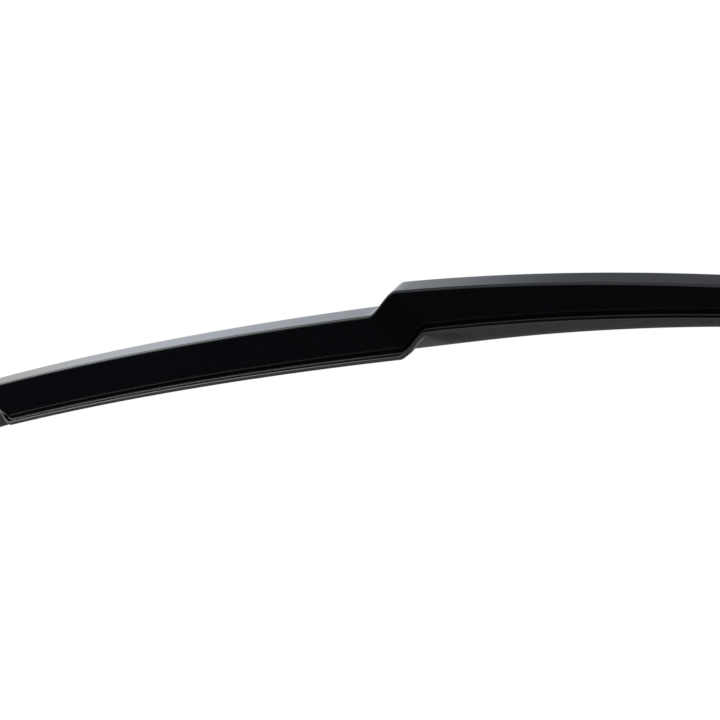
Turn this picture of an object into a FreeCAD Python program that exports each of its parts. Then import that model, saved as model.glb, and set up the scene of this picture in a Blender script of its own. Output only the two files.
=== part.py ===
"""Rear spoiler extension: a one-piece vacuum-formed shell with a lower centre and two raised wings.

Frame, in millimetres: +X to the right along the span, +Y forward, +Z up. The origin is on the heel
line, where the underside meets the foot, in the middle of the span.
"""
import FreeCAD
import Part
import Sketcher
import os
from enum import IntEnum

NODE = "spoiler_extension"

# Driving dimensions, with what each one measures
DIMENSIONS = {
    "half_span": (560, "middle of the span to the outside of an end wall"),
    "recess_half": (187, "middle of the span to the foot of the step"),
    "step_run": (20, "sideways length of the step between centre and wing"),
    "step_rise": (14.5, "height of a wing's heel above the centre's heel"),
    "sweep_radius": (2200, "radius of the heel line seen from above"),
    "crown_centre": (8000, "radius of the centre's heel line seen from behind"),
    "crown_wing": (1850, "radius of a wing's heel line seen from behind"),
    "wall": (3.5, "thickness of the formed sheet"),
    "overhang": (40.5, "heel to trailing edge, rearward"),
    "blade_rise": (16, "heel to trailing edge, upward"),
    "bevel_depth": (14, "trailing edge to crest, forward"),
    "bevel_rise": (11, "trailing edge to crest, upward"),
    "hollow_radius": (350, "radius of the hollow top skin"),
    "front_reach": (60, "heel to front edge, forward"),
    "front_rise": (22, "height of the front edge above the centre's heel"),
    "foot_reach": (4, "heel to the lip of the foot, rearward"),
    "foot_drop": (2.5, "heel to the lip of the foot, downward"),
    "tip_overhang": (20, "overhang at the end of a wing"),
    "tip_blade_rise": (8, "blade rise at the end of a wing"),
    "tip_front_reach": (45, "front reach at the end of a wing"),
    "tip_front_rise": (7, "height of the front edge above the heel at the end of a wing"),
    "crest_radius": (3, "rounding of the crest"),
    "edge_radius": (1.2, "rounding of the trailing edge"),
    "heel_radius": (0.5, "rounding inside the heel"),
    "lip_radius": (1.5, "rounding of both edges of the lip"),
}

CENTRE_SHARES = (-1, -0.5, 0, 0.5, 1)
STEP_SHARES = (1 / 6, 2 / 6, 3 / 6, 4 / 6, 5 / 6, 1)
WING_SHARES = (0.25, 0.5, 0.75, 1)


class Spot(IntEnum):
    """Points of a line or arc, as a sketch numbers them."""
    START = 1
    END = 2
    MIDDLE = 3


# The origin is the start of a sketch's own horizontal axis, its first fixed line
ORIGIN = (-1, Spot.START)

# The two roundings of the lip leave a flat between them, however thin the sheet is
LIP_ROUNDING = "min(dims.lip_radius; 0.45 * dims.wall)"


def fill_sheet(doc):
    """Put each driving dimension in a row of its own: meaning, number, alias."""
    sheet = doc.addObject("Spreadsheet::Sheet", "dims")
    for row, (alias, (value, meaning)) in enumerate(DIMENSIONS.items(), start=1):
        sheet.set(f"A{row}", meaning)
        sheet.set(f"B{row}", str(value))
        sheet.setAlias(f"B{row}", alias)
    doc.recompute()


def origin_plane(body, role):
    """The body's own origin plane with this role."""
    return next(item for item in body.Origin.OriginFeatures if item.Role == role)


def blend(start, end, share):
    """Expression for a size that runs from start to end along a share of the way."""
    return f"({start} + ({end} - {start}) * {share})"


def centre_station(share):
    """Place and shape of the section at a share of the centre's half width."""
    x = f"(dims.recess_half * {share})"
    return {
        "x": x,
        "y": f"{x}^2 / (2 * dims.sweep_radius)",
        "z": f"-({x}^2) / (2 * dims.crown_centre)",
        "overhang": "dims.overhang",
        "blade_rise": "dims.blade_rise",
        "front_reach": "dims.front_reach",
        "front_rise": "dims.front_rise",
    }


def step_station(share):
    """The centre's section lifted along a smooth step, with the front edge left level."""
    lift = f"(dims.step_rise * {share ** 2 * (3 - 2 * share)})"
    x = f"(dims.recess_half + dims.step_run * {share})"
    station = centre_station(1)
    station["x"] = x
    station["y"] = f"{x}^2 / (2 * dims.sweep_radius)"
    station["z"] = f"{lift} - {x}^2 / (2 * dims.crown_centre)"
    station["front_rise"] = f"dims.front_rise - {lift}"
    return station


def wing_station(x):
    """The wing's section at x: it tapers in a straight line to its size at the tip."""
    root = "(dims.recess_half + dims.step_run)"
    out = f"({x} - {root})"
    share = f"({out} / (dims.half_span - {root}))"
    root_drop = f"{root}^2 / (2 * dims.crown_centre)"
    wing_drop = f"({out} * {root} / dims.crown_centre + {out}^2 / (2 * dims.crown_wing))"
    return {
        "x": x,
        "y": f"{x}^2 / (2 * dims.sweep_radius)",
        "z": f"dims.step_rise - {root_drop} - {wing_drop}",
        "overhang": blend("dims.overhang", "dims.tip_overhang", share),
        "blade_rise": blend("dims.blade_rise", "dims.tip_blade_rise", share),
        "front_reach": blend("dims.front_reach", "dims.tip_front_reach", share),
        "front_rise": blend("(dims.front_rise - dims.step_rise)", "dims.tip_front_rise", share),
    }


def wing_x(share):
    """Place along the span, from the top of the step to the inside of the end wall."""
    root = "(dims.recess_half + dims.step_run)"
    return f"({root} + (dims.half_span - dims.wall - {root}) * {share})"


class Section:
    """One cross-section sketch, drawn looking along the span with its origin on the heel line."""

    def __init__(self, body, name, station, closed=False):
        self.sketch = body.newObject("Sketcher::SketchObject", name)
        self.sketch.AttachmentSupport = [(origin_plane(body, "YZ_Plane"), "")]
        self.sketch.MapMode = "FlatFace"
        for axis, place in zip("xyz", ("y", "z", "x")):
            self.sketch.setExpression(f"AttachmentOffset.Base.{axis}", station[place])
        self.station = station
        self.draw()
        self.constrain()
        if closed:
            self.close_inside()

    def value(self, expression):
        """Number that an expression gives now, for the first guess of a point."""
        return float(self.sketch.evalExpression(expression))

    def size(self, name, kind, *where, expression):
        """Add a dimension and bind it to an expression."""
        index = self.sketch.addConstraint(Sketcher.Constraint(kind, *where, self.value(expression)))
        self.sketch.renameConstraint(index, name)
        self.sketch.setExpression(f"Constraints.{name}", expression)

    def tie(self, kind, *where):
        """Add a constraint without a number."""
        self.sketch.addConstraint(Sketcher.Constraint(kind, *where))

    def line(self, start, end):
        return self.sketch.addGeometry(Part.LineSegment(start, end))

    def arc(self, start, middle, end):
        return self.sketch.addGeometry(Part.Arc(start, middle, end))

    def draw(self):
        """Draw the outline roughly where it belongs: outer side first, then the inner side."""
        station = self.station
        wall = self.value("dims.wall")
        heel = FreeCAD.Vector(0, 0)
        lip = FreeCAD.Vector(-self.value("dims.foot_reach"), -self.value("dims.foot_drop"))
        edge = FreeCAD.Vector(-self.value(station["overhang"]), self.value(station["blade_rise"]))
        rise = FreeCAD.Vector(self.value("dims.bevel_depth"), self.value("dims.bevel_rise"))
        crest = edge + rise
        front = FreeCAD.Vector(self.value(station["front_reach"]), self.value(station["front_rise"]))

        def along(start, end, radius):
            return start + (end - start).normalize() * radius

        def hollow(start, end, radius):
            chord = end - start
            sag = chord.Length ** 2 / (8 * radius)
            return start + chord * 0.5 + FreeCAD.Vector(chord.y, -chord.x).normalize() * sag

        def rounding(before, corner, after, radius):
            start = along(corner, before, radius)
            end = along(corner, after, radius)
            return start, corner * 0.5 + (start + end) * 0.25, end

        crest_start, crest_middle, crest_end = rounding(front, crest, edge, self.value("dims.crest_radius"))
        edge_start, edge_middle, edge_end = rounding(crest, edge, heel, self.value("dims.edge_radius"))
        heel_start, heel_middle, heel_end = rounding(edge, heel, lip, self.value("dims.heel_radius"))
        radius = self.value("dims.hollow_radius")
        lip_radius = self.value(LIP_ROUNDING)

        # The sheet's other side: each inner corner is found where two offset lines cross
        foot_way = (lip - heel).normalize()
        foot_in = FreeCAD.Vector(-foot_way.y, foot_way.x) * wall
        blade_way = (edge - heel).normalize()
        blade_in = FreeCAD.Vector(blade_way.y, -blade_way.x) * wall
        bevel_way = rise.normalize()
        bevel_in = FreeCAD.Vector(bevel_way.y, -bevel_way.x) * wall

        def crossing(start, way, other, other_way):
            gap = other - start
            across = way.x * other_way.y - way.y * other_way.x
            return start + way * ((gap.x * other_way.y - gap.y * other_way.x) / across)

        toe = lip + foot_in
        inner_heel = crossing(toe, foot_way, edge + blade_in, blade_way)
        inner_edge = crossing(edge + blade_in, blade_way, edge + bevel_in, bevel_way)
        inner_front = front - FreeCAD.Vector(0, wall)
        inner_crest = crossing(edge + bevel_in, bevel_way, inner_front, crest - front)
        lip_start, lip_middle, lip_end = rounding(heel, lip, toe, lip_radius)
        toe_start, toe_middle, toe_end = rounding(lip, toe, inner_heel, lip_radius)

        self.top = self.arc(crest_start, hollow(crest_start, front, radius), front)
        self.crest = self.arc(crest_start, crest_middle, crest_end)
        self.bevel = self.line(crest_end, edge_start)
        self.edge = self.arc(edge_start, edge_middle, edge_end)
        self.under = self.line(edge_end, heel_start)
        self.heel = self.arc(heel_end, heel_middle, heel_start)
        self.ledge = self.line(heel_end, lip_start)
        self.lip_rounding = self.arc(lip_start, lip_middle, lip_end)
        self.lip = self.line(lip_end, toe_start)
        self.toe_rounding = self.arc(toe_start, toe_middle, toe_end)
        self.seat = self.line(toe_end, inner_heel)
        self.under_inside = self.line(inner_heel, inner_edge)
        self.bevel_inside = self.line(inner_edge, inner_crest)
        self.top_inside = self.arc(inner_crest, hollow(inner_crest, inner_front, radius + wall), inner_front)
        self.front = self.line(inner_front, front)
        self.edge_corner = self.sketch.addGeometry(Part.Point(edge), True)
        self.crest_corner = self.sketch.addGeometry(Part.Point(crest), True)
        self.lip_corner = self.sketch.addGeometry(Part.Point(lip), True)

    def constrain(self):
        """Tie the outline together and give it its sizes."""
        station = self.station

        # Outer side: rounded corners are tangent, and their sharp corners carry the sizes
        self.tie("Tangent", self.top, Spot.START, self.crest, Spot.START)
        self.tie("Tangent", self.crest, Spot.END, self.bevel, Spot.START)
        self.tie("Tangent", self.bevel, Spot.END, self.edge, Spot.START)
        self.tie("Tangent", self.edge, Spot.END, self.under, Spot.START)
        self.tie("Tangent", self.under, Spot.END, self.heel, Spot.END)
        self.tie("Tangent", self.heel, Spot.START, self.ledge, Spot.START)
        for first, second in ((self.ledge, self.lip_rounding), (self.lip_rounding, self.lip),
                              (self.lip, self.toe_rounding), (self.toe_rounding, self.seat)):
            self.tie("Tangent", first, Spot.END, second, Spot.START)
        for corner, sides in ((self.crest_corner, (self.top, self.bevel)),
                              (self.edge_corner, (self.bevel, self.under)),
                              (self.lip_corner, (self.ledge, self.lip))):
            for side in sides:
                self.tie("PointOnObject", corner, Spot.START, side)
        for side in (self.under, self.ledge):
            self.tie("PointOnObject", *ORIGIN, side)
        edge = (self.edge_corner, Spot.START)
        crest = (self.crest_corner, Spot.START)
        lip = (self.lip_corner, Spot.START)
        self.size("overhang", "DistanceX", *edge, *ORIGIN, expression=station["overhang"])
        self.size("blade_rise", "DistanceY", *ORIGIN, *edge, expression=station["blade_rise"])
        self.size("bevel_depth", "DistanceX", *edge, *crest, expression="dims.bevel_depth")
        self.size("bevel_rise", "DistanceY", *edge, *crest, expression="dims.bevel_rise")
        self.size("front_reach", "DistanceX", *ORIGIN, self.front, Spot.END, expression=station["front_reach"])
        self.size("front_rise", "DistanceY", *ORIGIN, self.front, Spot.END, expression=station["front_rise"])
        self.size("foot_reach", "DistanceX", *lip, *ORIGIN, expression="dims.foot_reach")
        self.size("foot_drop", "DistanceY", *lip, *ORIGIN, expression="dims.foot_drop")
        self.size("hollow_radius", "Radius", self.top, expression="dims.hollow_radius")
        self.size("crest_radius", "Radius", self.crest, expression="dims.crest_radius")
        self.size("edge_radius", "Radius", self.edge, expression="dims.edge_radius")
        self.size("heel_radius", "Radius", self.heel, expression="dims.heel_radius")
        self.size("lip_radius", "Radius", self.lip_rounding, expression=LIP_ROUNDING)
        self.size("toe_radius", "Radius", self.toe_rounding, expression=LIP_ROUNDING)

        # Inner side: a sheet's thickness away all round, with the foot and the front edge trimmed square
        for first, second in ((self.seat, self.under_inside), (self.under_inside, self.bevel_inside),
                              (self.top_inside, self.front)):
            self.tie("Coincident", first, Spot.END, second, Spot.START)
        self.tie("Coincident", self.bevel_inside, Spot.END, self.top_inside, Spot.START)
        self.tie("Coincident", self.front, Spot.END, self.top, Spot.END)
        self.tie("Perpendicular", self.ledge, self.lip)
        self.tie("Vertical", self.front)
        for inside, outside in ((self.seat, self.ledge), (self.under_inside, self.under),
                                (self.bevel_inside, self.bevel)):
            self.tie("Parallel", inside, outside)
        self.tie("Coincident", self.top_inside, Spot.MIDDLE, self.top, Spot.MIDDLE)
        self.size("foot_wall", "Distance", self.seat, Spot.START, self.ledge, expression="dims.wall")
        self.size("under_wall", "Distance", self.under_inside, Spot.START, self.under, expression="dims.wall")
        self.size("bevel_wall", "Distance", self.bevel_inside, Spot.START, self.bevel, expression="dims.wall")
        self.size("top_wall", "Radius", self.top_inside, expression="dims.hollow_radius + dims.wall")

    def close_inside(self):
        """Fill the hollow with one straight line from the heel to the front edge, for an end wall."""
        for side in (self.under_inside, self.bevel_inside, self.top_inside):
            self.sketch.toggleConstruction(side)
        geometry = self.sketch.Geometry
        across = self.line(geometry[self.seat].EndPoint, geometry[self.front].StartPoint)
        self.tie("Coincident", self.seat, Spot.END, across, Spot.START)
        self.tie("Coincident", across, Spot.END, self.front, Spot.START)


def loft(body, name, sketches):
    """Solid skin through a row of section sketches."""
    feature = body.newObject("PartDesign::AdditiveLoft", name)
    feature.Profile = sketches[0]
    feature.Sections = sketches[1:]
    feature.Ruled = False
    body.Document.recompute()
    return feature


def build_shell(doc):
    """The whole extension: centre, right step, right wing and end wall, then the left side mirrored."""
    body = doc.addObject("PartDesign::Body", NODE)
    body.Label = NODE

    def sections(prefix, stations, closed=False):
        return [Section(body, f"{prefix}_section_{number}", station, closed).sketch
                for number, station in enumerate(stations, start=1)]

    centre = sections("centre", map(centre_station, CENTRE_SHARES))
    step = sections("step", map(step_station, STEP_SHARES))
    wing = sections("wing", [wing_station(wing_x(share)) for share in WING_SHARES])
    tip = sections("tip", [wing_station(x) for x in (wing_x(1), "dims.half_span")], closed=True)

    loft(body, "centre", centre)
    right_side = [
        loft(body, "right_step", [centre[-1], *step]),
        loft(body, "right_wing", [step[-1], *wing]),
        loft(body, "right_end_wall", tip),
    ]
    left_side = body.newObject("PartDesign::Mirrored", "left_side")
    left_side.Originals = right_side
    left_side.MirrorPlane = (origin_plane(body, "YZ_Plane"), [""])
    body.Tip = left_side
    doc.recompute()
    return body


def check(doc, body):
    """Stop before anything is written if a feature failed, a sketch is loose or the shell isn't one solid."""
    for item in doc.Objects:
        if "Invalid" in item.State or "Error" in item.State:
            raise RuntimeError(f"{item.Name} failed: {item.State}")
        if item.TypeId == "Sketcher::SketchObject" and not item.FullyConstrained:
            raise RuntimeError(f"{item.Name} is not fully constrained")
    shape = body.Shape
    if shape.isNull() or not shape.isValid() or len(shape.Solids) != 1:
        raise RuntimeError(f"{body.Label} is not one valid solid")


def main():
    doc = FreeCAD.newDocument(NODE)
    fill_sheet(doc)
    body = build_shell(doc)
    check(doc, body)
    os.makedirs("parts", exist_ok=True)
    body.Shape.exportStep(f"parts/{body.Label}.step")
    box = body.Shape.BoundBox
    print(f"{body.Label}: {box.XLength:.1f} x {box.YLength:.1f} x {box.ZLength:.1f} mm, "
          f"{body.Shape.Volume / 1000:.1f} cm3, {len(body.Shape.Faces)} faces")


main()
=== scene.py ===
"""Rear spoiler extension: a gloss black formed shell, with its studio stage."""
import math
from typing import NamedTuple

import bmesh
import bpy
from bpy.props import FloatProperty, FloatVectorProperty, PointerProperty
from bpy.types import Operator, Panel, PropertyGroup
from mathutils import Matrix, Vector


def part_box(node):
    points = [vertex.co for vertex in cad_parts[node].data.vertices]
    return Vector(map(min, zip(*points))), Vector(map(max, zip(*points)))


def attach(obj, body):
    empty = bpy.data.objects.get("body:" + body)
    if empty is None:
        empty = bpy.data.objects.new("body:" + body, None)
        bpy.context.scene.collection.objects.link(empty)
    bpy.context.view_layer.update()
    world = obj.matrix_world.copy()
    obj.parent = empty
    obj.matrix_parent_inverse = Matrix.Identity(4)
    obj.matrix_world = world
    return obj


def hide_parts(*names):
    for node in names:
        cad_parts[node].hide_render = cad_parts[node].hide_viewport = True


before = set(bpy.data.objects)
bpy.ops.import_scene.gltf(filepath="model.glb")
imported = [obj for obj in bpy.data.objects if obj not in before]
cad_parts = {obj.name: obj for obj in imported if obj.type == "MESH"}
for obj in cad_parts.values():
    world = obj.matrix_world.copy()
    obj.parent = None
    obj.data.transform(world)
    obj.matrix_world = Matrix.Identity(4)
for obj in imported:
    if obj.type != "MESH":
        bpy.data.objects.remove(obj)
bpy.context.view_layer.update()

bl_info = {
    "name": "Spoiler extension",
    "version": (1, 0, 0),
    "blender": (4, 5, 0),
    "location": "3D View > Sidebar > Spoiler",
    "description": "Builds a one-piece rear spoiler extension and the stage that it is shown on",
    "category": "Object",
}

NODE = "spoiler_extension"
MM = 0.001

# Faces of the sheet, in the order of the shell's material slots
GLOSS, TRIMMED, INSIDE = range(3)

# Sheet
ABS_IOR = 1.52
LIP_SHARE = 0.45
SHARP_ANGLE = math.radians(40)
SMALLEST_EDGE = 0.005 * MM

# Steps of the top skin's two faces, of the stretches of the span and of an end's rounding
TOP_STEPS = 26
INNER_TOP_STEPS = 14
CENTRE_STEPS = 32
RISE_STEPS = 26
WING_STEPS = 60
END_STEPS = 4

# Stage
WHITE = (1, 1, 1, 1)
PAPER_FIBRE = 12 * MM
# Painted dark reflection: tone of the card that the gloss underside mirrors in place of the pale floor
DARK_REFLECTION_COLOUR = "#26292E"
FLAG_HALF_SIZE = (1.6, 0.6, 1)
FLAG_PLACE = (0.2, 0.42, -0.5)
GLOW_WAY = (-0.71, 0.345, 0.615)
SKY_WAY = (-0.66, -0.7, 0.27)
LAMP_PLACE = (-1.4, -1.5, 1.45)
LAMP_SIZE = (2.0, 1.4)
LAMP_POWER = 30


def linear(hex_colour):
    """Linear RGB of an sRGB hex colour."""
    channels = [int(hex_colour[place:place + 2], 16) / 255 for place in (1, 3, 5)]
    return [c / 12.92 if c <= 0.04045 else ((c + 0.055) / 1.055) ** 2.4 for c in channels]


def length(name, description, millimetres):
    """A size that a user would change."""
    return FloatProperty(name=name, description=description, default=millimetres * MM, unit="LENGTH",
                         subtype="DISTANCE", precision=4)


def colour(name, description, hex_colour):
    """A colour that a user would change."""
    return FloatVectorProperty(name=name, description=description, subtype="COLOR", size=3, min=0, max=1,
                               default=linear(hex_colour))


def strength(name, description, default):
    """A brightness that a user would change."""
    return FloatProperty(name=name, description=description, default=default, min=0)


class SpoilerShellSizes(PropertyGroup):
    """Sizes of the formed shell."""
    half_span: length("Half span", "Middle of the span to the outside of an end wall",
                      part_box(NODE)[1].x / MM)
    recess_half: length("Recess half", "Middle of the span to the foot of the step", 187)
    step_run: length("Step run", "Sideways length of the step between centre and wing", 20)
    step_rise: length("Step rise", "Height of a wing's heel above the centre's heel", 14.5)
    sweep_radius: length("Sweep radius", "Radius of the heel line seen from above", 2200)
    crown_centre: length("Centre crown", "Radius of the centre's heel line seen from behind", 8000)
    crown_wing: length("Wing crown", "Radius of a wing's heel line seen from behind", 1850)
    wall: length("Wall", "Thickness of the formed sheet", 3.5)
    overhang: length("Overhang", "Heel to trailing edge, rearward", 40.5)
    blade_rise: length("Blade rise", "Heel to trailing edge, upward", 16)
    bevel_depth: length("Bevel depth", "Trailing edge to crest, forward", 14)
    bevel_rise: length("Bevel rise", "Trailing edge to crest, upward", 11)
    hollow_radius: length("Hollow radius", "Radius of the hollow top skin", 350)
    front_reach: length("Front reach", "Heel to front edge, forward", 60)
    front_rise: length("Front rise", "Height of the front edge above the centre's heel", 22)
    foot_reach: length("Foot reach", "Heel to the lip of the foot, rearward", 4)
    foot_drop: length("Foot drop", "Heel to the lip of the foot, downward", 2.5)
    tip_overhang: length("Tip overhang", "Overhang at the end of a wing", 20)
    tip_blade_rise: length("Tip blade rise", "Blade rise at the end of a wing", 8)
    tip_front_reach: length("Tip front reach", "Front reach at the end of a wing", 45)
    tip_front_rise: length("Tip front rise", "Height of the front edge above the heel at a wing's end", 7)
    crest_radius: length("Crest radius", "Rounding of the crest", 3)
    edge_radius: length("Edge radius", "Rounding of the trailing edge", 1.2)
    heel_radius: length("Heel radius", "Rounding inside the heel", 0.5)
    lip_radius: length("Lip radius", "Rounding of both edges of the lip", 1.5)
    inside_radius: length("Inside radius", "Rounding that forming leaves on the sheet's inner corners", 1.2)
    front_radius: length("Front radius", "Broken edges of the trimmed front", 0.5)
    end_radius: length("End radius", "Rounding where the skin turns into an end wall", 0.45)


class SpoilerFinish(PropertyGroup):
    """Colours of the sheet and sizes of its surface marks."""
    gloss_colour: colour("Gloss colour", "Outer face of the sheet", "#08090B")
    inside_colour: colour("Inside colour", "Inner face of the sheet", "#333336")
    trim_colour: colour("Trim colour", "Cut edges of the sheet", "#202022")
    peel: length("Orange peel", "Spacing of the ripple in the gloss skin", 3)
    wave: length("Waviness", "Spacing of the slow waves that forming leaves", 45)
    grain: length("Inside grain", "Spacing of the inner face's grain", 0.9)
    cut_marks: length("Cut marks", "Spacing of the cutter marks on a trimmed edge", 0.8)


class SpoilerStage(PropertyGroup):
    """Floor, light and camera."""
    floor_drop: length("Floor drop", "Floor below the origin", 900)
    floor_size: length("Floor size", "Radius of the floor", 30000)
    floor_fade: length("Floor fade", "Distance at which the floor has faded to white", 7000)
    floor_colour: colour("Floor colour", "Pale studio floor", "#E4E4E2")
    ambient: strength("Ambient", "Share of the backdrop's light that falls on rough surfaces", 0.65)
    ceiling: strength("Ceiling", "Brightness of the backdrop overhead, where its lower part is white", 0.46)
    ceiling_colour: colour("Ceiling colour", "Cool tint of the backdrop overhead", "#EAF1FA")
    glow: strength("Glow", "Extra brightness of the backdrop's soft light, ahead on the left", 1.4)
    rear_sky: strength("Rear sky", "Extra brightness of the backdrop low behind on the left", 4.5)
    camera_place: FloatVectorProperty(name="Camera place", description="Where the camera stands", size=3,
                                      subtype="XYZ", unit="LENGTH", default=(0.76645, -0.85791, -0.26435))
    camera_left: FloatProperty(name="Camera turn", subtype="ANGLE", default=math.radians(35.31),
                               description="How far the camera looks to the left of forward")
    camera_up: FloatProperty(name="Camera tilt", subtype="ANGLE", default=math.radians(13.89),
                             description="How far the camera looks up")
    lens: FloatProperty(name="Lens", description="Focal length on a frame 36 mm wide", default=80.2,
                        unit="CAMERA", subtype="DISTANCE_CAMERA")


def add_node(tree, kind, settings=None, inputs=None):
    """Add a node, set its properties, and set or link its inputs."""
    node = tree.nodes.new(kind)
    for name, value in (settings or {}).items():
        setattr(node, name, value)
    for socket, value in (inputs or {}).items():
        if isinstance(value, bpy.types.NodeSocket):
            tree.links.new(value, node.inputs[socket])
        else:
            node.inputs[socket].default_value = value
    return node


def new_material(name):
    """An empty node material and its surface output."""
    material = bpy.data.materials.new(name)
    material.use_nodes = True
    material.node_tree.nodes.clear()
    output = add_node(material.node_tree, "ShaderNodeOutputMaterial")
    return material, material.node_tree, output.inputs["Surface"]


def gloss_abs(finish):
    """Gloss black ABS, formed over a mould: a mirror-like skin with a faint ripple and slow waves."""
    material, tree, surface = new_material("gloss_black_abs")
    place = add_node(tree, "ShaderNodeTexCoord").outputs["Object"]
    waves = add_node(tree, "ShaderNodeTexNoise", inputs={
        "Vector": place, "Scale": 1 / finish.wave, "Detail": 1.0, "Roughness": 0.4})
    ripple = add_node(tree, "ShaderNodeTexNoise", inputs={
        "Vector": place, "Scale": 1 / finish.peel, "Detail": 2.0, "Roughness": 0.5})
    slow = add_node(tree, "ShaderNodeBump", inputs={
        "Height": waves.outputs["Fac"], "Strength": 0.12, "Distance": 0.002})
    fine = add_node(tree, "ShaderNodeBump", inputs={
        "Height": ripple.outputs["Fac"], "Strength": 0.03, "Distance": 0.0002,
        "Normal": slow.outputs["Normal"]})
    haze = add_node(tree, "ShaderNodeMapRange", inputs={
        "Value": waves.outputs["Fac"], "From Min": 0.3, "From Max": 0.7, "To Min": 0.05, "To Max": 0.09})
    skin = add_node(tree, "ShaderNodeBsdfPrincipled", inputs={
        "Base Color": (*finish.gloss_colour, 1), "Roughness": haze.outputs["Result"], "IOR": ABS_IOR,
        "Normal": fine.outputs["Normal"]})
    tree.links.new(skin.outputs["BSDF"], surface)
    return material


def inside_abs(finish):
    """Inner face of the formed sheet: never polished, so it is dull, with a fine leathery grain."""
    material, tree, surface = new_material("formed_abs_inside")
    place = add_node(tree, "ShaderNodeTexCoord").outputs["Object"]
    grain = add_node(tree, "ShaderNodeTexVoronoi", {"feature": "SMOOTH_F1"}, {
        "Vector": place, "Scale": 1 / finish.grain, "Smoothness": 0.6})
    bump = add_node(tree, "ShaderNodeBump", inputs={
        "Height": grain.outputs["Distance"], "Strength": 0.35, "Distance": 0.0002})
    sheen = add_node(tree, "ShaderNodeMapRange", inputs={
        "Value": grain.outputs["Distance"], "From Min": 0.0, "From Max": 0.8, "To Min": 0.48, "To Max": 0.62})
    skin = add_node(tree, "ShaderNodeBsdfPrincipled", inputs={
        "Base Color": (*finish.inside_colour, 1), "Roughness": sheen.outputs["Result"], "IOR": ABS_IOR,
        "Normal": bump.outputs["Normal"]})
    tree.links.new(skin.outputs["BSDF"], surface)
    return material


def trimmed_abs(finish):
    """Cut edge of the sheet: greyer than the skin, satin, with fine cutter marks across it."""
    material, tree, surface = new_material("trimmed_abs_edge")
    place = add_node(tree, "ShaderNodeTexCoord").outputs["Object"]
    stretched = add_node(tree, "ShaderNodeMapping", inputs={"Vector": place, "Scale": (1, 0.1, 0.1)})
    marks = add_node(tree, "ShaderNodeTexNoise", inputs={
        "Vector": stretched.outputs["Vector"], "Scale": 1 / finish.cut_marks, "Detail": 2.0})
    bump = add_node(tree, "ShaderNodeBump", inputs={
        "Height": marks.outputs["Fac"], "Strength": 0.3, "Distance": 0.0001})
    sheen = add_node(tree, "ShaderNodeMapRange", inputs={
        "Value": marks.outputs["Fac"], "From Min": 0.3, "From Max": 0.7, "To Min": 0.3, "To Max": 0.45})
    skin = add_node(tree, "ShaderNodeBsdfPrincipled", inputs={
        "Base Color": (*finish.trim_colour, 1), "Roughness": sheen.outputs["Result"], "IOR": ABS_IOR,
        "Normal": bump.outputs["Normal"]})
    tree.links.new(skin.outputs["BSDF"], surface)
    return material


def add_object(context, name, bm, materials):
    """Turn a bmesh into an object at the origin, with its materials."""
    mesh = bpy.data.meshes.new(name)
    bm.to_mesh(mesh)
    bm.free()
    for material in materials:
        mesh.materials.append(material)
    obj = bpy.data.objects.new(name, mesh)
    context.scene.collection.objects.link(obj)
    return obj


class Station:
    """Place and sizes of the cross-section at x along the span."""

    def __init__(self, sizes, x):
        out = max(abs(x) - sizes.recess_half - sizes.step_run, 0)
        root = min(abs(x), sizes.recess_half + sizes.step_run)
        taper = out / (sizes.half_span - sizes.recess_half - sizes.step_run)
        climb = min(max((abs(x) - sizes.recess_half) / sizes.step_run, 0), 1)
        lift = sizes.step_rise * climb ** 2 * (3 - 2 * climb)
        crown = root ** 2 / (2 * sizes.crown_centre)
        droop = out * root / sizes.crown_centre + out ** 2 / (2 * sizes.crown_wing)
        self.seat = Vector((x, x ** 2 / (2 * sizes.sweep_radius), lift - crown - droop))
        self.overhang = sizes.overhang + (sizes.tip_overhang - sizes.overhang) * taper
        self.blade_rise = sizes.blade_rise + (sizes.tip_blade_rise - sizes.blade_rise) * taper
        self.front_reach = sizes.front_reach + (sizes.tip_front_reach - sizes.front_reach) * taper
        root_front = sizes.front_rise - lift
        self.front_rise = root_front + (sizes.tip_front_rise - root_front) * taper


def crossing(start, way, other, other_way):
    """Where two lines cross."""
    gap = other - start
    return start + way * (gap.cross(other_way) / way.cross(other_way))


def swing(arm, angle):
    """An arm turned by an angle."""
    return Vector((arm.x * math.cos(angle) - arm.y * math.sin(angle),
                   arm.x * math.sin(angle) + arm.y * math.cos(angle)))


def round_corner(before, corner, after, radius, steps):
    """Points of the arc that rounds a corner between two straight sides."""
    back = (before - corner).normalized()
    ahead = (after - corner).normalized()
    half_angle = math.acos(max(-1, min(1, back.dot(ahead)))) / 2
    reach = radius / math.tan(half_angle)
    centre = corner + (back + ahead).normalized() * (radius / math.sin(half_angle))
    start = corner + back * reach - centre
    turn = math.pi - 2 * half_angle
    if back.cross(ahead) > 0:
        turn = -turn
    return [centre + swing(start, turn * step / steps) for step in range(steps + 1)]


def hollow_run(start, end, centre, steps):
    """Points along an arc about a centre, from start towards end, without its ends."""
    first = start - centre
    turn = math.atan2(first.cross(end - centre), first.dot(end - centre))
    return [centre + swing(first, turn * step / steps) for step in range(1, steps)]


def straight_run(start, end, steps):
    """Points along a straight side, without its ends, closer together near the ends."""
    shares = [0.5 - 0.5 * math.cos(math.pi * step / steps) for step in range(1, steps)]
    return [start.lerp(end, share) for share in shares]


class Corner(NamedTuple):
    """A corner of the section: its rounding, and the side after it, each with its face of the sheet.

    The side is a number of steps where it is straight, and its points where it is curved.
    """
    point: Vector
    radius: float
    steps: int
    arc_face: int
    side: object
    side_face: int

    @property
    def curved(self):
        """Whether the side after the corner is curved."""
        return isinstance(self.side, list)


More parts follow.
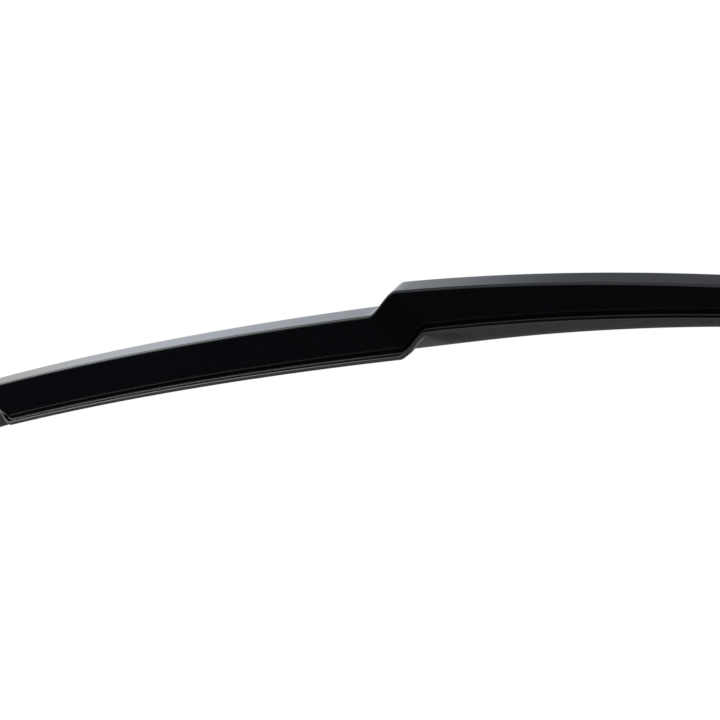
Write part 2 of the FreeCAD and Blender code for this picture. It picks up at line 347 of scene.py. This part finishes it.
def section_corners(sizes, station):
    """The section's corners (forward, up), in order round the sheet from the front edge."""
    wall = sizes.wall
    heel = Vector((0, 0))
    lip = Vector((-sizes.foot_reach, -sizes.foot_drop))
    edge = Vector((-station.overhang, station.blade_rise))
    crest = edge + Vector((sizes.bevel_depth, sizes.bevel_rise))
    front = Vector((station.front_reach, station.front_rise))

    foot_way = (lip - heel).normalized()
    blade_way = (edge - heel).normalized()
    bevel_way = (crest - edge).normalized()
    toe = lip + Vector((-foot_way.y, foot_way.x)) * wall
    blade_in = edge + Vector((blade_way.y, -blade_way.x)) * wall
    bevel_in = edge + Vector((bevel_way.y, -bevel_way.x)) * wall
    inner_heel = crossing(toe, foot_way, blade_in, blade_way)
    inner_edge = crossing(blade_in, blade_way, bevel_in, bevel_way)

    # The top skin is hollow: both of its faces are arcs about one centre above it
    chord = front - crest
    sag_depth = math.sqrt(sizes.hollow_radius ** 2 - chord.length_squared / 4)
    hollow_centre = crest + chord / 2 + Vector((-chord.y, chord.x)).normalized() * sag_depth
    inner_radius = sizes.hollow_radius + wall
    front_fall = math.sqrt(inner_radius ** 2 - (front.x - hollow_centre.x) ** 2)
    inner_front = Vector((front.x, hollow_centre.y - front_fall))

    # The bevel's inner line crosses the inner arc twice: the first place counts if it is past the inner edge
    along = (bevel_in - hollow_centre).dot(bevel_way)
    across = (bevel_in - hollow_centre).length_squared - inner_radius ** 2
    reach = math.sqrt(along ** 2 - across)
    inner_crest = bevel_in + bevel_way * (-along - reach)
    if (inner_crest - inner_edge).dot(bevel_way) < 0:
        inner_crest = bevel_in + bevel_way * (-along + reach)

    top = hollow_run(front, crest, hollow_centre, TOP_STEPS)
    inner_top = hollow_run(inner_crest, inner_front, hollow_centre, INNER_TOP_STEPS)
    lip_radius = min(sizes.lip_radius, LIP_SHARE * wall)
    inside_radius = sizes.inside_radius
    return {
        "front": Corner(front, sizes.front_radius, 3, GLOSS, top, GLOSS),
        "crest": Corner(crest, sizes.crest_radius, 8, GLOSS, 8, GLOSS),
        "edge": Corner(edge, sizes.edge_radius, 8, GLOSS, 14, GLOSS),
        "heel": Corner(heel, sizes.heel_radius, 6, GLOSS, 3, GLOSS),
        "lip": Corner(lip, lip_radius, 8, GLOSS, 2, TRIMMED),
        "toe": Corner(toe, lip_radius, 6, INSIDE, 4, INSIDE),
        "inner_heel": Corner(inner_heel, inside_radius, 5, INSIDE, 8, INSIDE),
        "inner_edge": Corner(inner_edge, inside_radius, 5, INSIDE, 4, INSIDE),
        "inner_crest": Corner(inner_crest, inside_radius, 5, INSIDE, inner_top, INSIDE),
        "inner_front": Corner(inner_front, sizes.front_radius, 3, TRIMMED, 3, TRIMMED),
    }


class Section:
    """Outline of the sheet at a station: its points, the face each begins, and where each corner starts."""

    def __init__(self, sizes, station):
        self.points = []
        self.faces = []
        self.starts = {}
        named = section_corners(sizes, station)
        corners = list(named.values())
        arcs = []
        for index, corner in enumerate(corners):
            last = corners[index - 1]
            before = last.side[-1] if last.curved else last.point
            after = corner.side[0] if corner.curved else corners[(index + 1) % len(corners)].point
            arcs.append(round_corner(before, corner.point, after, corner.radius, corner.steps))
        for index, (name, corner) in enumerate(named.items()):
            arc = arcs[index]
            following = arcs[(index + 1) % len(arcs)]
            side = corner.side if corner.curved else straight_run(arc[-1], following[0], corner.side)
            self.starts[name] = len(self.points)
            self.points += arc + side
            self.faces += [corner.arc_face] * (len(arc) - 1) + [corner.side_face] * (len(side) + 1)

    def inner_heel(self):
        """Index of the foremost point of the inner heel's rounding."""
        return max(range(self.starts["inner_heel"], self.starts["inner_edge"]),
                   key=lambda index: self.points[index].x)


class SPOILER_OT_formed_shell(Operator):
    """Form the extension's shell: one section carried along the span, closed by a wall at each end"""
    bl_idname = "spoiler.formed_shell"
    bl_label = "Formed shell"

    def execute(self, context):
        sizes = context.scene.spoiler_sizes
        finish = context.scene.spoiler_finish
        section = Section(sizes, Station(sizes, 0))
        bm = bmesh.new()
        place = bm.verts.layers.int.new("place")
        left, right = self.skin(bm, sizes, place)
        self.paint(bm, section.faces, place)
        for ring, sign in ((left, -1), (right, 1)):
            self.end_wall(bm, sizes, section, ring, sign, place)
        bmesh.ops.dissolve_degenerate(bm, dist=SMALLEST_EDGE, edges=bm.edges)
        bmesh.ops.recalc_face_normals(bm, faces=bm.faces)
        bm.verts.layers.int.remove(bm.verts.layers.int["place"])
        for face in bm.faces:
            face.smooth = True
        materials = (gloss_abs(finish), trimmed_abs(finish), inside_abs(finish))
        shell = add_object(context, "formed_shell", bm, materials)
        shell.data.set_sharp_from_angle(angle=SHARP_ANGLE)
        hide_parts(NODE)
        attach(shell, "root")
        return {"FINISHED"}

    @staticmethod
    def span(sizes):
        """Places along the span: close together on the steps, further apart on the long runs."""
        root = sizes.recess_half + sizes.step_run
        stretches = ((0, sizes.recess_half, CENTRE_STEPS), (sizes.recess_half, root, RISE_STEPS),
                     (root, sizes.half_span - sizes.wall, WING_STEPS))
        right = [start + (end - start) * step / steps
                 for start, end, steps in stretches for step in range(1, steps + 1)]
        return [-x for x in reversed(right)] + [0] + right

    @staticmethod
    def lay(sizes, x, inset=0):
        """Points of the section at x in the shell's frame, drawn in from its outside by an inset."""
        station = Station(sizes, x)
        flat = Section(sizes, station).points
        laid = []
        for index, point in enumerate(flat):
            way = (flat[(index + 1) % len(flat)] - flat[index - 1]).normalized()
            drawn = point + Vector((-way.y, way.x)) * inset
            laid.append(station.seat + Vector((0, drawn.x, drawn.y)))
        return laid

    @staticmethod
    def carry(bm, row, pairs, points, place):
        """Extrude the edges between a row's pairs and set the new vertices on the next section's points."""
        edges = [bm.edges.get(pair) for pair in pairs]
        made = bmesh.ops.extrude_edge_only(bm, edges=edges)["geom"]
        fresh = {item for item in made if isinstance(item, bmesh.types.BMVert)}
        following = []
        for vertex, point in zip(row, points):
            new = next(e.other_vert(vertex) for e in vertex.link_edges if e.other_vert(vertex) in fresh)
            new.co = point
            new[place] = vertex[place]
            following.append(new)
        return following

    def skin(self, bm, sizes, place):
        """Make the sheet between the end walls, as a tube of the outline: its first and last ring."""
        span = self.span(sizes)
        first = [bm.verts.new(point) for point in self.lay(sizes, span[0])]
        for index, vertex in enumerate(first):
            vertex[place] = index
            bm.edges.new((first[index - 1], vertex))
        ring = first
        for x in span[1:]:
            pairs = [(ring[index - 1], vertex) for index, vertex in enumerate(ring)]
            ring = self.carry(bm, ring, pairs, self.lay(sizes, x), place)
        return first, ring

    @staticmethod
    def paint(bm, faces, place):
        """Give each strip of the skin the finish of its side of the sheet."""
        for face in bm.faces:
            spots = sorted({vertex[place] for vertex in face.verts})
            wraps = spots == [0, len(faces) - 1]
            face.material_index = faces[spots[-1] if wraps else spots[0]]

    def end_wall(self, bm, sizes, section, ring, sign, place):
        """Close the hollow with a wall as thick as the sheet, its outer rim rounded."""
        heel = section.inner_heel()
        front = section.starts["inner_front"]
        outer = [*range(front, len(ring)), *range(heel + 1)]
        row = [ring[index] for index in outer]
        for step in range(END_STEPS + 1):
            angle = math.pi / 2 * step / END_STEPS
            x = sizes.half_span - sizes.end_radius * (1 - math.sin(angle))
            inset = sizes.end_radius * (1 - math.cos(angle))
            points = self.lay(sizes, sign * x, inset)
            following = self.carry(bm, row, zip(row, row[1:]), [points[index] for index in outer], place)
            bridge = bm.faces.new((row[0], row[-1], following[-1], following[0]))
            bridge.material_index = TRIMMED
            row = following
        outside = bm.faces.new(row)
        outside.material_index = GLOSS
        inside = bm.faces.new(ring[heel:front + 1])
        inside.material_index = INSIDE
        bmesh.ops.triangulate(bm, faces=[outside, inside], quad_method="BEAUTY", ngon_method="BEAUTY")


class SPOILER_OT_stage(Operator):
    """Set up the pale floor, the soft studio light and the camera"""
    bl_idname = "spoiler.stage"
    bl_label = "Stage"

    def execute(self, context):
        stage = context.scene.spoiler_stage
        self.floor(context, stage)
        self.flag(context)
        self.backdrop(context, stage)
        self.lamp(context)
        self.camera(context, stage)
        context.scene.view_settings.view_transform = "Standard"
        return {"FINISHED"}

    @staticmethod
    def floor(context, stage):
        """A wide matte sheet of paper under the object."""
        material, tree, surface = new_material("matte_floor_paper")
        place = add_node(tree, "ShaderNodeTexCoord").outputs["Object"]
        fibre = add_node(tree, "ShaderNodeTexNoise", inputs={
            "Vector": place, "Scale": 1 / PAPER_FIBRE, "Detail": 3.0})
        bump = add_node(tree, "ShaderNodeBump", inputs={
            "Height": fibre.outputs["Fac"], "Strength": 0.1, "Distance": 0.0005})
        paper = add_node(tree, "ShaderNodeBsdfPrincipled", inputs={
            "Base Color": (*stage.floor_colour, 1), "Roughness": 0.9, "Normal": bump.outputs["Normal"]})
        # Far off it fades to the white of the surround, and from below it lets the object show
        distance = add_node(tree, "ShaderNodeVectorMath", {"operation": "LENGTH"}, {0: place})
        fade = add_node(tree, "ShaderNodeMapRange", {"interpolation_type": "SMOOTHSTEP"}, {
            "Value": distance.outputs["Value"], "From Min": 0.25 * stage.floor_fade,
            "From Max": stage.floor_fade})
        white = add_node(tree, "ShaderNodeEmission", inputs={"Color": WHITE, "Strength": 1.0})
        faded = add_node(tree, "ShaderNodeMixShader", inputs={
            0: fade.outputs["Result"], 1: paper.outputs["BSDF"], 2: white.outputs["Emission"]})
        side = add_node(tree, "ShaderNodeNewGeometry")
        clear = add_node(tree, "ShaderNodeBsdfTransparent")
        shown = add_node(tree, "ShaderNodeMixShader", inputs={
            0: side.outputs["Backfacing"], 1: faded.outputs["Shader"], 2: clear.outputs["BSDF"]})
        tree.links.new(shown.outputs["Shader"], surface)
        bm = bmesh.new()
        bmesh.ops.create_circle(bm, cap_ends=True, segments=96, radius=stage.floor_size)
        bmesh.ops.translate(bm, verts=bm.verts, vec=(0, 0, -stage.floor_drop))
        floor = add_object(context, "floor", bm, (material,))

    @staticmethod
    def flag(context):
        """Painted dark reflection: a black card that only the gloss sees, which keeps the pale floor out of
        the gloss underside.
        """
        material, tree, surface = new_material("reflection_only_black_card")
        card = add_node(tree, "ShaderNodeBsdfPrincipled", inputs={
            "Base Color": (*linear(DARK_REFLECTION_COLOUR), 1), "Roughness": 1.0, "Specular IOR Level": 0.0})
        tree.links.new(card.outputs["BSDF"], surface)
        bm = bmesh.new()
        bmesh.ops.create_grid(bm, x_segments=1, y_segments=1, size=1)
        bmesh.ops.scale(bm, verts=bm.verts, vec=FLAG_HALF_SIZE)
        bmesh.ops.translate(bm, verts=bm.verts, vec=FLAG_PLACE)
        flag = add_object(context, "reflection_only_black_flag", bm, (material,))
        # Seen only in reflections, as a painted dark reflection: hidden from the camera, from diffuse light
        # and from shadows
        flag.visible_camera = False
        flag.visible_diffuse = False
        flag.visible_shadow = False

    @staticmethod
    def soft_light(tree, way, towards, whole, edge, extra):
        """Extra brightness round a direction: whole within one angle in degrees, none past another."""
        nearness = add_node(tree, "ShaderNodeVectorMath", {"operation": "DOT_PRODUCT"}, {
            0: way, 1: Vector(towards).normalized()})
        light = add_node(tree, "ShaderNodeMapRange", {"interpolation_type": "SMOOTHSTEP"}, {
            "Value": nearness.outputs["Value"], "From Min": math.cos(math.radians(edge)),
            "From Max": math.cos(math.radians(whole)), "To Min": 0.0, "To Max": extra})
        return light.outputs["Result"]

    def backdrop(self, context, stage):
        """A white surround that greys overhead, with a soft light ahead and a low one behind, on the left."""
        world = bpy.data.worlds.new("studio_surround")
        context.scene.world = world
        world.use_nodes = True
        tree = world.node_tree
        tree.nodes.clear()
        way = add_node(tree, "ShaderNodeTexCoord").outputs["Generated"]
        height = add_node(tree, "ShaderNodeSeparateXYZ", inputs={"Vector": way})
        upward = add_node(tree, "ShaderNodeMapRange", {"interpolation_type": "SMOOTHSTEP"}, {
            "Value": height.outputs["Z"], "From Min": math.sin(math.radians(28)),
            "From Max": math.sin(math.radians(42))})
        overhead = add_node(tree, "ShaderNodeMapRange", inputs={
            "Value": upward.outputs["Result"], "To Min": 1.0, "To Max": stage.ceiling})
        tint = add_node(tree, "ShaderNodeMix", {"data_type": "RGBA"}, {
            "Factor": upward.outputs["Result"], 6: WHITE, 7: (*stage.ceiling_colour, 1)})
        glow = self.soft_light(tree, way, GLOW_WAY, 6, 31, stage.glow)
        sky = self.soft_light(tree, way, SKY_WAY, 8, 24, stage.rear_sky)
        ahead = add_node(tree, "ShaderNodeMath", {"operation": "MULTIPLY_ADD"}, {
            0: glow, 1: upward.outputs["Result"], 2: overhead.outputs["Result"]})
        bright = add_node(tree, "ShaderNodeMath", {"operation": "ADD"}, {0: ahead.outputs["Value"], 1: sky})
        # Mirrored or seen through, the surround is as bright as it is, and rough surfaces get a share of it
        path = add_node(tree, "ShaderNodeLightPath")
        mirrored = add_node(tree, "ShaderNodeMath", {"operation": "ADD", "use_clamp": True}, {
            0: path.outputs["Is Glossy Ray"], 1: path.outputs["Is Transmission Ray"]})
        share = add_node(tree, "ShaderNodeMapRange", inputs={
            "Value": mirrored.outputs["Value"], "To Min": stage.ambient, "To Max": 1.0})
        level = add_node(tree, "ShaderNodeMath", {"operation": "MULTIPLY"}, {
            0: bright.outputs["Value"], 1: share.outputs["Result"]})
        light = add_node(tree, "ShaderNodeBackground", inputs={
            "Color": tint.outputs[2], "Strength": level.outputs["Value"]})
        white = add_node(tree, "ShaderNodeBackground", inputs={"Color": WHITE, "Strength": 1.0})
        seen = add_node(tree, "ShaderNodeMixShader", inputs={
            0: path.outputs["Is Camera Ray"], 1: light.outputs["Background"], 2: white.outputs["Background"]})
        output = add_node(tree, "ShaderNodeOutputWorld")
        tree.links.new(seen.outputs["Shader"], output.inputs["Surface"])

    @staticmethod
    def lamp(context):
        """A soft box high behind on the left, for the floor and the rough surfaces."""
        lamp = bpy.data.lights.new("rear_soft_box", "AREA")
        lamp.shape = "RECTANGLE"
        lamp.size, lamp.size_y = LAMP_SIZE
        lamp.energy = LAMP_POWER
        box = bpy.data.objects.new("rear_soft_box", lamp)
        box.location = LAMP_PLACE
        box.rotation_euler = (-Vector(LAMP_PLACE)).to_track_quat("-Z", "Y").to_euler()
        box.visible_camera = False
        box.visible_glossy = False
        context.scene.collection.objects.link(box)

    @staticmethod
    def camera(context, stage):
        """A camera low behind the right corner, looking up and to the left."""
        lens = bpy.data.cameras.new("camera")
        lens.sensor_fit = "HORIZONTAL"
        lens.sensor_width = 36
        lens.lens = stage.lens
        lens.clip_start = 0.01
        camera = bpy.data.objects.new("camera", lens)
        camera.location = stage.camera_place
        camera.rotation_euler = (math.pi / 2 + stage.camera_up, 0, stage.camera_left)
        context.scene.collection.objects.link(camera)
        context.scene.camera = camera


class VIEW3D_PT_spoiler_extension(Panel):
    """Lists what builds the extension and its stage"""
    bl_label = "Spoiler extension"
    bl_idname = "VIEW3D_PT_spoiler_extension"
    bl_space_type = "VIEW_3D"
    bl_region_type = "UI"
    bl_category = "Spoiler"

    def draw(self, context):
        layout = self.layout
        for settings, operator in ((context.scene.spoiler_sizes, SPOILER_OT_formed_shell),
                                   (context.scene.spoiler_finish, None),
                                   (context.scene.spoiler_stage, SPOILER_OT_stage)):
            column = layout.column(align=True)
            for name in settings.bl_rna.properties.keys():
                if name not in ("rna_type", "name"):
                    column.prop(settings, name)
            if operator:
                layout.operator(operator.bl_idname)


CLASSES = (SpoilerShellSizes, SpoilerFinish, SpoilerStage, SPOILER_OT_formed_shell, SPOILER_OT_stage,
           VIEW3D_PT_spoiler_extension)


def register():
    for cls in CLASSES:
        bpy.utils.register_class(cls)
    bpy.types.Scene.spoiler_sizes = PointerProperty(type=SpoilerShellSizes)
    bpy.types.Scene.spoiler_finish = PointerProperty(type=SpoilerFinish)
    bpy.types.Scene.spoiler_stage = PointerProperty(type=SpoilerStage)


def unregister():
    del bpy.types.Scene.spoiler_stage
    del bpy.types.Scene.spoiler_finish
    del bpy.types.Scene.spoiler_sizes
    for cls in reversed(CLASSES):
        bpy.utils.unregister_class(cls)


def main():
    register()
    bpy.ops.spoiler.formed_shell()
    bpy.ops.spoiler.stage()


if __name__ == "__main__":
    main()
